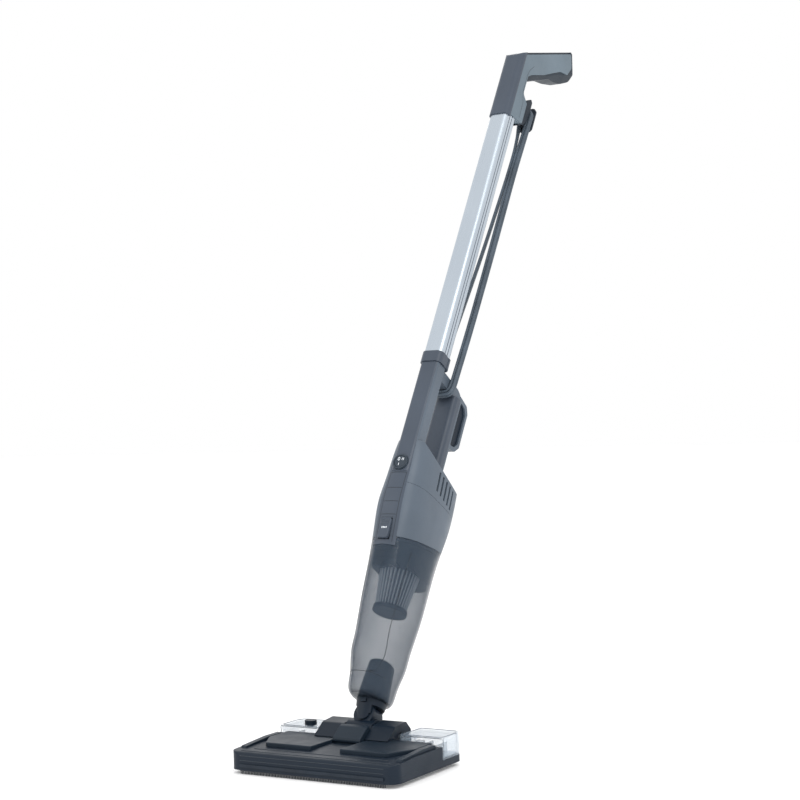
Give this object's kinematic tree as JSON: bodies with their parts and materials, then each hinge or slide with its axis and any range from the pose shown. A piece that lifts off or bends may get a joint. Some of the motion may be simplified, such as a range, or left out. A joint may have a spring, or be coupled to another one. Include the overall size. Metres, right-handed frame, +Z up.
{
  "type": "corded stick vacuum cleaner",
  "caption": "Corded stick vacuum with a floor head and water tank, clear dust bin, detachable hand vacuum, aluminium wand and cord wound between two hooks.",
  "frame": {"origin": "on the floor under the middle of the floor head's footprint", "axes": "-Y is the front of the floor head, +Y the user's side, +X the side of the clear bin seen first, +Z up"},
  "size_m": [0.25, 0.7789, 1.0153],
  "materials": {
    "dark_plastic": "fine satin",
    "panel_plastic": "satin",
    "shell_plastic": "satin",
    "light_plastic": "satin",
    "smoked_clear": "clear smoked",
    "clear_tank": "clear",
    "soft_rubber": "matte",
    "aluminium_tube": "brushed anodised",
    "steel": "brushed",
    "plug_brass": "bright nickelled",
    "filter_paper": "pleated",
    "foam": "open foam",
    "mop_fabric": "looped microfibre",
    "velcro": "hook tape",
    "bristles": "nylon bristle",
    "board": "lacquered board",
    "cord_rubber": "smooth flexible cord"
  },
  "bodies": {
    "floor_head": {"head_base": "dark_plastic", "head_cover": "dark_plastic", "head_trims": "light_plastic", "pivot_blocks": "dark_plastic", "roller_axles": "steel", "pivot_cover": "light_plastic", "front_bumper": "soft_rubber", "bristle_strip": "bristles", "mop_pad": "mop_fabric", "velcro_strips": "velcro", "suction_duct": "dark_plastic", "base_screws": "steel", "pitch_axle": "steel"},
    "roller_left": {"roller_left": "soft_rubber"},
    "roller_right": {"roller_right": "soft_rubber"},
    "tank": {"water_tank": "clear_tank", "tank_fittings": "clear_tank"},
    "tank_cap": {"tank_cap": "dark_plastic"},
    "tank_latch": {"tank_latch": "light_plastic"},
    "neck": {"neck_yoke": "dark_plastic"},
    "elbow": {"elbow": "dark_plastic", "roll_pin": "steel", "inlet_seal": "soft_rubber"},
    "elbow_button": {"elbow_button": "light_plastic"},
    "bin": {"bin_shell": "smoked_clear", "inlet_duct": "dark_plastic", "bin_seal": "soft_rubber"},
    "inlet_flap": {"inlet_flap": "smoked_clear"},
    "hand_vacuum": {"front_panel": "panel_plastic", "motor_cover": "shell_plastic", "body_shell_left": "shell_plastic", "body_shell_right": "shell_plastic", "grip_insert": "panel_plastic", "switch_bezel": "dark_plastic", "cord_ear": "shell_plastic", "ear_inserts": "dark_plastic", "motor_housing": "dark_plastic", "intake_grille": "dark_plastic", "circuit_board": "board", "exhaust_foam": "foam", "wand_tube": "aluminium_tube", "wand_collar": "shell_plastic", "handle_front_shell": "dark_plastic", "handle_rear_shell": "light_plastic", "grip_trims": "panel_plastic", "upper_cord_hook": "dark_plastic", "cord_hank": "cord_rubber", "cord_lead": "cord_rubber", "cord_gland": "cord_rubber", "plug_body": "cord_rubber", "plug_pins": "plug_brass", "filter_frame": "dark_plastic"},
    "filter": {"filter_pleats": "filter_paper", "filter_ring": "dark_plastic", "filter_disc": "dark_plastic"},
    "power_switch": {"power_switch": "dark_plastic"},
    "release_button": {"release_button": "panel_plastic"},
    "collar_latch": {"collar_latch": "shell_plastic"},
    "rotor": {"motor_rotor": "steel", "impeller": "dark_plastic"}
  },
  "joints": [
    {"name": "neck_pitch", "type": "hinge", "parent": "floor_head", "child": "neck", "pos_m": [0, 0.042, 0.038], "axis": [1, 0, 0], "range_deg": [-28, 31.4]},
    {"name": "neck_roll", "type": "hinge", "parent": "neck", "child": "elbow", "pos_m": [0, 0.05346, 0.05678], "axis": [0, 0.8536, -0.521], "range_deg": [-22, 22]},
    {"name": "bin_off_neck", "type": "slide", "parent": "elbow", "child": "bin", "axis": [0, 0.521, 0.8536], "range_m": [0, 0.04]},
    {"name": "vacuum_off_bin", "type": "slide", "parent": "bin", "child": "hand_vacuum", "axis": [0, 0.521, 0.8536], "range_m": [0, 0.11]},
    {"name": "inlet_flap_hinge", "type": "hinge", "parent": "bin", "child": "inlet_flap", "pos_m": [0, 0.10214, 0.1076], "axis": [-1, 0, 0], "range_deg": [0, 55]},
    {"name": "filter_twist", "type": "hinge", "parent": "hand_vacuum", "child": "filter", "pos_m": [0, 0.14382, 0.2336], "axis": [0, 0.521, 0.8536], "range_deg": [0, 25]},
    {"name": "switch_rocker", "type": "hinge", "parent": "hand_vacuum", "child": "power_switch", "pos_m": [0, 0.15628, 0.38298], "axis": [1, 0, 0], "range_deg": [-9, 9]},
    {"name": "release_press", "type": "slide", "parent": "hand_vacuum", "child": "release_button", "axis": [0, 0.8536, -0.521], "range_m": [0, 0.002], "stiffness_N_per_m": 800, "springref_m": -0.001},
    {"name": "collar_latch_slide", "type": "slide", "parent": "hand_vacuum", "child": "collar_latch", "axis": [0, -0.521, -0.8536], "range_m": [0, 0.003], "stiffness_N_per_m": 600, "springref_m": -0.001},
    {"name": "elbow_button_press", "type": "slide", "parent": "elbow", "child": "elbow_button", "axis": [0, 0.8536, -0.521], "range_m": [0, 0.0015], "stiffness_N_per_m": 800, "springref_m": -0.001},
    {"name": "rotor_spin", "type": "hinge", "parent": "hand_vacuum", "child": "rotor", "pos_m": [0, 0.1855, 0.30188], "axis": [0, 0.521, 0.8536], "continuous": true},
    {"name": "tank_pull", "type": "slide", "parent": "floor_head", "child": "tank", "axis": [0, 1, 0], "range_m": [0, 0.06]},
    {"name": "tank_cap_twist", "type": "hinge", "parent": "tank", "child": "tank_cap", "pos_m": [-0.086, 0.046, 0.042], "axis": [0, 0, 1], "range_deg": [0, 90]},
    {"name": "tank_latch_slide", "type": "slide", "parent": "tank", "child": "tank_latch", "axis": [0, 0, -1], "range_m": [0, 0.004], "stiffness_N_per_m": 500, "springref_m": -0.001},
    {"name": "roller_left_spin", "type": "hinge", "parent": "floor_head", "child": "roller_left", "pos_m": [-0.1, 0.066, 0.006], "axis": [1, 0, 0], "continuous": true},
    {"name": "roller_right_spin", "type": "hinge", "parent": "floor_head", "child": "roller_right", "pos_m": [0.1, 0.066, 0.006], "axis": [1, 0, 0], "continuous": true}
  ]
}
